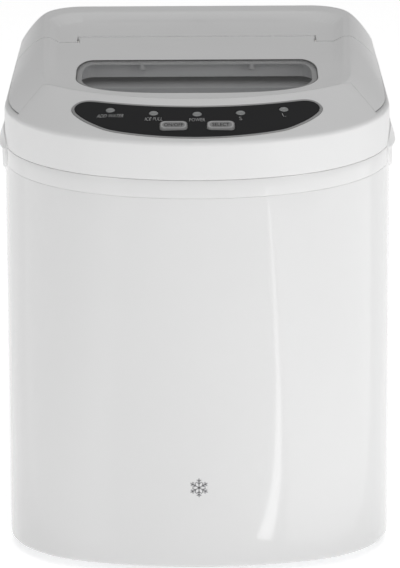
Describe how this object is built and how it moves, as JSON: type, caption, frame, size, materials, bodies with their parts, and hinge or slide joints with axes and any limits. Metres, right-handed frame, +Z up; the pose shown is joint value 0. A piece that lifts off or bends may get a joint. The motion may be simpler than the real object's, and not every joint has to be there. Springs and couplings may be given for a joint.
{
  "type": "portable ice maker",
  "caption": "Worktop ice maker: bowed white cabinet, rear-hinged cover with tinted window, sloping control deck, side grips, lift-out basket, tilting water tray, compressor and condenser fan.",
  "frame": {"origin": "centre of the overall footprint at floor level", "axes": "+Z up, +Y from the bowed front to the rear panel (front faces -Y), +X to the right as seen from the front"},
  "size_m": [0.2872, 0.364, 0.338],
  "materials": {
    "body_white": "high gloss, slightly wavy moulding",
    "cover_white": "satin to gloss",
    "window_smoke": "smoked clear plastic",
    "fascia_black": "printed film, satin",
    "bezel_grey": "satin",
    "button_grey": "satin",
    "lens": "diffusing lens",
    "inner_plastic": "fine moulded grain",
    "basket_plastic": "translucent, glossy",
    "foam": "closed-cell foam",
    "rubber": "matte",
    "sheet_steel": "galvanised sheet",
    "black_steel": "semi-gloss enamel",
    "copper": "drawn copper tube, dull",
    "aluminium": "fin stock",
    "nickel": "nickel plate",
    "motor_plastic": "moulded",
    "board_green": "solder mask"
  },
  "bodies": {
    "cabinet": {"body_shell": "body_white", "rear_panel": "body_white", "rim_band": "body_white", "top_housing": "cover_white", "side_grip_left": "cover_white", "side_grip_right": "cover_white", "fascia_panel": "fascia_black", "fascia_bezel": "bezel_grey", "lens_water": "lens", "lens_ice_full": "lens", "lens_power": "lens", "lens_small_ice": "lens", "lens_large_ice": "lens", "reservoir_liner": "inner_plastic", "ice_chute": "inner_plastic", "evaporator_hood": "inner_plastic", "pump_hose": "inner_plastic", "float_stem": "inner_plastic", "drain_spout": "inner_plastic", "insulation_jacket": "foam", "foot_front_left": "rubber", "foot_front_right": "rubber", "foot_rear_left": "rubber", "foot_rear_right": "rubber", "compressor_mount_front_left": "rubber", "compressor_mount_front_right": "rubber", "compressor_mount_rear_left": "rubber", "compressor_mount_rear_right": "rubber", "base_pan": "sheet_steel", "compressor": "black_steel", "filter_drier": "copper", "discharge_line": "copper", "suction_line": "copper", "liquid_line": "copper", "condenser": "aluminium", "evaporator": "nickel", "lid_hinge_pin_left": "nickel", "lid_hinge_pin_right": "nickel", "power_inlet": "motor_plastic", "tray_motor": "motor_plastic", "water_pump": "motor_plastic", "ice_full_sensor_left": "motor_plastic", "ice_full_sensor_right": "motor_plastic", "start_relay": "motor_plastic", "fan_shroud": "motor_plastic", "fan_motor": "motor_plastic", "hot_gas_valve": "motor_plastic", "power_board": "motor_plastic", "control_board": "board_green"},
    "lid": {"lid": "cover_white", "lid_window": "window_smoke", "lid_inner_frame": "inner_plastic"},
    "on_off_button": {"button_on_off": "button_grey"},
    "size_button": {"button_size": "button_grey"},
    "basket": {"ice_basket": "basket_plastic"},
    "scoop": {"ice_scoop": "basket_plastic"},
    "tray": {"water_tray": "inner_plastic"},
    "fan": {"fan_rotor": "motor_plastic"},
    "float": {"water_float": "motor_plastic"},
    "drain_cap": {"drain_cap": "motor_plastic"}
  },
  "joints": [
    {"name": "lid_hinge", "type": "hinge", "parent": "cabinet", "child": "lid", "pos_m": [0, 0.0858, 0.329], "axis": [-1, 0, 0], "range_deg": [0, 95]},
    {"name": "on_off_press", "type": "slide", "parent": "cabinet", "child": "on_off_button", "axis": [0, 0.2566, -0.9665], "range_m": [0, 0.001], "stiffness_N_per_m": 600},
    {"name": "size_press", "type": "slide", "parent": "cabinet", "child": "size_button", "axis": [0, 0.2566, -0.9665], "range_m": [0, 0.001], "stiffness_N_per_m": 600},
    {"name": "basket_lift", "type": "slide", "parent": "cabinet", "child": "basket", "axis": [0, 0, 1], "range_m": [0, 0.012]},
    {"name": "scoop_lift", "type": "slide", "parent": "basket", "child": "scoop", "axis": [0, 0, 1], "range_m": [0, 0.06]},
    {"name": "tray_tilt", "type": "hinge", "parent": "cabinet", "child": "tray", "pos_m": [0, 0.041, 0.2756], "axis": [1, 0, 0], "range_deg": [0, 50]},
    {"name": "fan_spin", "type": "hinge", "parent": "cabinet", "child": "fan", "pos_m": [-0.0915, 0.066, 0.0712], "axis": [1, 0, 0], "continuous": true},
    {"name": "float_rise", "type": "slide", "parent": "cabinet", "child": "float", "axis": [0, 0, 1], "range_m": [0, 0.01]},
    {"name": "drain_cap_pull", "type": "slide", "parent": "cabinet", "child": "drain_cap", "axis": [0, 1, 0], "range_m": [0, 0.025]}
  ]
}
